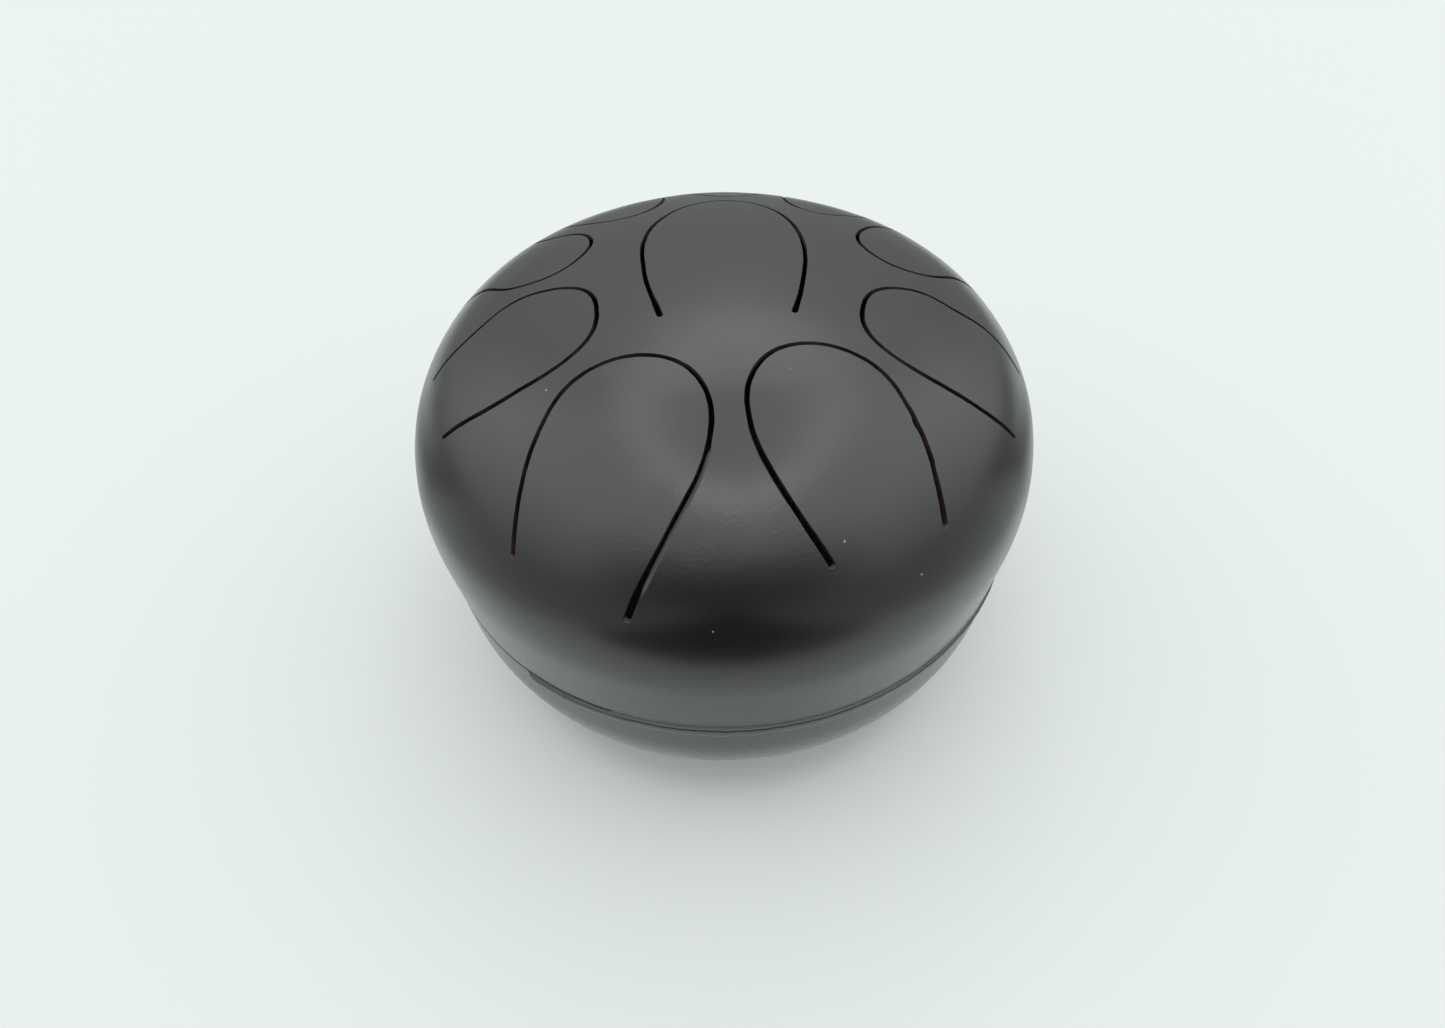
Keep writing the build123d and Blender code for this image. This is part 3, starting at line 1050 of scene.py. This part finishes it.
def black_paint():
    """Satin black enamel: orange peel, pinholes, dust, rubbed patches and a pebbled band."""
    material, g, place = new_material("black_paint")
    patches = g.noise(place, scale=14, detail=4, rough=0.55)
    grain = g.noise(place, scale=900, detail=3, rough=0.6)
    pits = g.specks(place, scale=160, share=0.02, size=0.12)
    dust = g.specks(place, scale=130, share=0.012, size=0.07)
    tone = g.mix(g.ramp(patches, 0.35, 0.65), *BLACK)
    tone = g.mix(g.times(pits, 0.8), tone, PINHOLE)
    tone = g.mix(g.times(dust, 0.5), tone, DUST)
    for spot, size, colour in SPOTS:
        tone = g.mix(g.near(place, spot, size), tone, (*colour, 1))
    rough = g.ramp(patches, 0.3, 0.7, *GLOSS)
    rough = g.plus(rough, g.times(grain, 0.05))
    rough = g.plus(rough, g.times(pits, 0.2))
    g.dress(tone, rough, {"IOR": ENAMEL_IOR})
    peel = g.noise(place, scale=420, detail=2, rough=0.5)
    fine = g.noise(place, scale=1500, detail=2, rough=0.5)
    pebble = g.noise(place, scale=620, detail=2, rough=0.55)
    squeeze = g.add("ShaderNodeVectorMath", {0: place, 1: PEBBLED_SQUEEZE}, operation="MULTIPLY")
    squeezed = squeeze.outputs[0]
    spot = [p * q for p, q in zip(PEBBLED, PEBBLED_SQUEEZE)]
    broken = g.ramp(g.noise(place, scale=45, detail=3), 0.35, 0.6)
    broken = g.times(g.near(squeezed, spot, PEBBLED_REACH), broken)
    height = g.plus(peel, g.times(fine, 0.25))
    height = g.plus(height, g.times(g.times(pebble, broken), 5.0))
    height = g.minus(height, g.times(pits, 1.5))
    g.bump(height, 0.016 * MM)
    return material


def cut_wall():
    """Saw-cut steel under thin paint, with dull rust in places, and painted light: greyer where it faces
    up.
    """
    material, g, place = new_material("slot_wall")
    blotch = g.noise(place, scale=90, detail=4, rough=0.6)
    tone = g.mix(g.ramp(blotch, 0.4, 0.65), *RUSTY)
    normal = g.add("ShaderNodeNewGeometry").outputs["Normal"]
    upward = g.split(normal)[2]
    # Painted light: the wall turns grey where it faces up, standing in for light falling on it.
    tone = g.mix(g.ramp(upward, 0.3, 0.55), tone, CUT_PAINTED_LIGHT)
    g.dress(tone, g.ramp(blotch, 0.3, 0.7, 0.4, 0.65))
    marks = g.noise(place, scale=700, detail=3, rough=0.6)
    g.bump(marks, 0.06 * MM)
    return material


def inner_steel():
    """Bare inner face of the shells: dull mill scale."""
    material, g, place = new_material("inner_steel")
    blotch = g.noise(place, scale=25, detail=5, rough=0.6)
    g.dress(g.mix(blotch, *MILL_SCALE), g.ramp(blotch, 0.3, 0.7, 0.5, 0.7), {"Metallic": 0.6})
    return material


def rubber(name, tone, scuff):
    """Moulded rubber: matt, finely pebbled, paler where it is scuffed."""
    material, g, place = new_material(name)
    worn = g.ramp(g.noise(place, scale=60, detail=5, rough=0.65), 0.52, 0.72)
    colour = g.mix(worn, (tone, tone, tone, 1), (scuff, scuff, scuff * 0.96, 1))
    g.dress(colour, g.ramp(worn, 0, 1, 0.62, 0.82))
    pebble = g.noise(place, scale=1100, detail=3, rough=0.6)
    g.bump(pebble, 0.05 * MM)
    return material


def zinc_steel():
    """Zinc-plated fasteners: bright metal with a cloudy, finely brushed surface."""
    material, g, place = new_material("zinc_steel")
    cloud = g.noise(place, scale=240, detail=4, rough=0.6)
    g.dress(g.mix(cloud, *ZINC_TONES), g.ramp(cloud, 0.3, 0.7, 0.26, 0.42), {"Metallic": 1.0})
    brushed = g.noise(place, scale=2200, detail=2, rough=0.5)
    g.bump(brushed, 0.02 * MM)
    return material


def on_shell(radius, azimuth):
    """A point on the note shell's skin at a distance from the axis and an azimuth."""
    return NOTE.basis(NOTE.along(radius), np.radians(azimuth))[0].tolist()


def on_skirt(z, azimuth):
    """A point on the note shell's skin at a height and an azimuth."""
    return NOTE.basis(np.interp(-z, -NOTE.z, NOTE.s), np.radians(azimuth))[0].tolist()


# The pebbled band of paint at the front, long from side to side.
PEBBLED = on_shell(125 * MM, 267)
PEBBLED_SQUEEZE = (0.45, 1.0, 1.0)
PEBBLED_REACH = 28 * MM
# Single marks: (radius or, on the skirt, height, then azimuth in degrees and size), in mm.
LIGHT_SPECK = (0.16, 0.16, 0.155)
DARK_SPECK = (0.001, 0.001, 0.001)
LIGHT_MARKS = ((130, 287.2, 0.6), (142, 298.8, 0.6), (95.6, 227.2, 0.55), (143.6, 267.2, 0.5))
DARK_MARKS = ((114.8, 312, 1.6), (82.8, 259.6, 0.8))
SKIRT_MARKS = ((150, 256, 0.7), (148, 257.6, 0.6), (150, 264.4, 0.6), (140, 264.8, 0.7), (137, 266, 0.6))
SPOTS = [(on_shell(r * MM, azimuth), size * MM, LIGHT_SPECK) for r, azimuth, size in LIGHT_MARKS]
SPOTS += [(on_shell(r * MM, azimuth), size * MM, DARK_SPECK) for r, azimuth, size in DARK_MARKS]
SPOTS += [(on_skirt(z * MM, azimuth), size * MM, DARK_SPECK) for z, azimuth, size in SKIRT_MARKS]

PAINT = black_paint()
WALL = cut_wall()
INNER = inner_steel()
SHELL_MATERIALS = (PAINT, WALL, INNER)

rise_rng = np.random.default_rng(5)
for slot in SLOTS:
    slot.rise = rise_rng.uniform(*TIP_RISE) * MM
    make_tongue(slot, SHELL_MATERIALS)
make_note_shell(SHELL_MATERIALS)
make_base_shell(SHELL_MATERIALS)
make_weld((PAINT, WALL))
make_trim((rubber("trim_rubber", 0.012, 0.03),))

FOOT_RUBBER = rubber("foot_rubber", 0.016, 0.045)
ZINC = zinc_steel()
for name, node in frame["nodes"].items():
    if name.startswith("foot_"):
        fastener = name in ("foot_washers", "foot_screws")
        for material_slot in node.material_slots:
            material_slot.material = ZINC if fastener else FOOT_RUBBER

# ---- floor, light

FLOOR_REACH = 8.0
FLOOR_TONE = (0.405, 0.420, 0.415, 1)
# A painted contact shadow: the floor's tone inside a circle round the drum's axis, and the radii over
# which its edge fades.
FLOOR_SHADED = (0.345, 0.352, 0.340, 1)
SHADE_EDGE = (0.142, 0.124)
# The board that the drum reflects, its tone painted with light and shade for the drum to mirror: each
# fall of its brightness from one place to another, sideways or towards the back, as (from, to, share
# there, share beyond).
UNDER_FLOOR = -0.5 * MM
REFLECTED_LIGHT_TONE = (0.52, 0.54, 0.53, 1)
BOARD_SIDES = (0.29, 0.38, 1.0, 0.57)
BOARD_BACK = (0.02, 0.13, 1.0, 0.42)
BOARD_FRONT = (-0.31, -0.41, 0.0, 0.92)
BOARD_MIDDLE = (0.24, 0.36, 1.0, 0.0)
# The oval of floor that the drum hides from the camera, its middle and half widths, and
# how many half widths the painted glow round it and in the far corners reaches.
BEHIND = (0.0, 0.26, 0.0)
BEHIND_HALVES = (0.272, 0.375)
RIM_GLOW = (1.9, 1.1)
RIM_FROM = (0.02, 0.14)
CORNER_GLOW = (5.0, 1.5)
CORNER_ASIDE = (0.05, 0.30)
CORNER_FROM = (0.15, 0.40)

# The tent's brightness, by height from 0 at the horizon to 1 overhead: (from, to, the
# brightness at each), and how it turns from the sides to the front and the back.
TENT_TINT = (0.965, 1.0, 0.985, 1)
TENT_SIDES = (-0.10, 0.56, 0.70, 2.35)
TENT_FRONT = (0.20, 0.75, 0.25, 2.4)
TENT_BACK = (0.24, 0.80, 0.50, 1.6)
TENT_TOP = 2.1
TOP_EDGE = (0.86, 0.97)
TO_FRONT = (-0.60, -0.98)
TO_BACK = (0.20, 0.85)
# The ring light, on the tent seen from below: its middle, half widths, soft edge, glow.
RING_MIDDLE = (0.03, 0.04)
RING_HALVES = (0.192, 0.335)
RING_EDGE = (0.34, 0.08)
RING_GLOW = 1.7
BACKDROP = 0.92


def plane(name, z):
    mesh = bpy.data.meshes.new(name)
    k = FLOOR_REACH
    mesh.from_pydata([(-k, -k, z), (k, -k, z), (k, k, z), (-k, k, z)], [], [(0, 1, 2, 3)])
    floor = put(name, mesh)
    return floor


def make_floor():
    """The pale floor that the camera sees from above, and sees through from below, with a painted shadow
    round the drum.
    """
    floor = plane("floor", 0)
    material, g, place = new_material("pale_board")
    # Painted shadow: the floor is darker inside the circle round the drum.
    shaded = g.ramp(g.flat_distance(place, (1.0, 1.0)), *SHADE_EDGE)
    g.dress(g.mix(shaded, FLOOR_TONE, FLOOR_SHADED), 0.8, {"Specular IOR Level": 0.2})
    out = next(node for node in g.tree.nodes if node.type == "OUTPUT_MATERIAL")
    below = g.add("ShaderNodeNewGeometry").outputs["Backfacing"]
    clear = g.add("ShaderNodeBsdfTransparent").outputs[0]
    seen = g.add("ShaderNodeMixShader", {0: below, 1: g.shader.outputs[0], 2: clear})
    g.tree.links.new(seen.outputs[0], out.inputs[0])
    floor.data.materials.append(material)
    floor.visible_diffuse = False
    floor.visible_glossy = False
    floor.visible_shadow = False


def make_under_floor():
    """The board that the drum reflects, painted with light and shade: bright round its front with a
    painted glow round the drum, dim further out and dark in front as painted shade.
    """
    floor = plane("reflected_board", UNDER_FLOOR)
    material, g, place = new_material("painted_light_board")
    x, y, z = g.split(place)
    aside = g.math("ABSOLUTE", x)
    sides = g.ramp(aside, *BOARD_SIDES)
    back = g.ramp(y, *BOARD_BACK)
    front = g.ramp(y, *BOARD_FRONT)
    middle = g.ramp(aside, *BOARD_MIDDLE)
    keep = g.minus(1.0, g.times(front, middle))
    share = g.times(g.times(sides, back), keep)
    shift = g.add("ShaderNodeVectorMath", {0: place, 1: BEHIND}, operation="SUBTRACT")
    away = g.flat_distance(shift.outputs[0], BEHIND_HALVES)
    rim = g.times(g.ramp(away, *RIM_GLOW), g.ramp(y, *RIM_FROM))
    corners = g.times(g.ramp(aside, *CORNER_ASIDE), g.ramp(y, *CORNER_FROM))
    rim = g.math("MAXIMUM", rim, g.times(corners, g.ramp(away, *CORNER_GLOW)))
    share = g.blend(rim, share, 1.0)
    # The board's tone is painted light and shade, for the drum to reflect.
    g.dress(g.mix(share, (0, 0, 0, 1), REFLECTED_LIGHT_TONE), 1.0, {"Specular IOR Level": 0.0})
    floor.data.materials.append(material)
    floor.visible_camera = False


def make_world():
    """A soft tent, dim at the front and back, with an oval ring light overhead."""
    world = bpy.data.worlds.new("tent")
    bpy.context.scene.world = world
    world.use_nodes = True
    g = Graph(world.node_tree)
    out = g.add("ShaderNodeOutputWorld")
    way = g.add("ShaderNodeTexCoord").outputs["Generated"]
    x, y, z = g.split(way)
    heading = g.over(y, g.math("MAXIMUM", g.length(x, y), 0.001))
    sides = g.ramp(z, *TENT_SIDES, "LINEAR")
    front = g.ramp(z, *TENT_FRONT)
    back = g.ramp(z, *TENT_BACK, "LINEAR")
    to_front, to_back = g.ramp(heading, *TO_FRONT), g.ramp(heading, *TO_BACK)
    base = g.blend(to_back, g.blend(to_front, sides, front), back)
    base = g.blend(g.ramp(z, *TOP_EDGE), base, TENT_TOP)
    above = g.plus(z, 1.0)
    u = g.over(g.minus(g.over(x, above), RING_MIDDLE[0]), RING_HALVES[0])
    v = g.over(g.minus(g.over(y, above), RING_MIDDLE[1]), RING_HALVES[1])
    off = g.math("ABSOLUTE", g.minus(g.length(u, v), 1.0))
    glow = g.times(g.ramp(off, *RING_EDGE), RING_GLOW)
    seen = g.add("ShaderNodeLightPath").outputs["Is Camera Ray"]
    total = g.blend(seen, g.plus(base, glow), BACKDROP)
    light = g.add("ShaderNodeBackground", {"Color": TENT_TINT})
    g.feed(light.inputs["Strength"], total)
    g.tree.links.new(light.outputs[0], out.inputs[0])


make_floor()
make_under_floor()
make_world()

# ---- camera

CAMERA_PLACE = (-0.00384, -0.27047, 0.36999)
CAMERA_HEADING = math.radians(-0.493)
CAMERA_DIP = math.radians(47.613)
CAMERA_ROLL = -0.024
# The focal length in widths of the image, and the sensor's width in mm.
FOCAL_SHARE = 677.3 / 1445
SENSOR = 36.0

camera_data = bpy.data.cameras.new("camera")
camera_data.sensor_width = SENSOR
camera_data.lens = FOCAL_SHARE * SENSOR
camera_data.clip_start = 0.01
camera_data.clip_end = 50
camera = put("camera", camera_data)
heading = Matrix.Rotation(CAMERA_HEADING, 4, "Z")
pitch = Matrix.Rotation(math.radians(90) - CAMERA_DIP, 4, "X")
roll = Matrix.Rotation(CAMERA_ROLL, 4, "Z")
camera.matrix_world = Matrix.Translation(CAMERA_PLACE) @ heading @ pitch @ roll
bpy.context.scene.camera = camera
bpy.context.scene.view_settings.view_transform = "Standard"
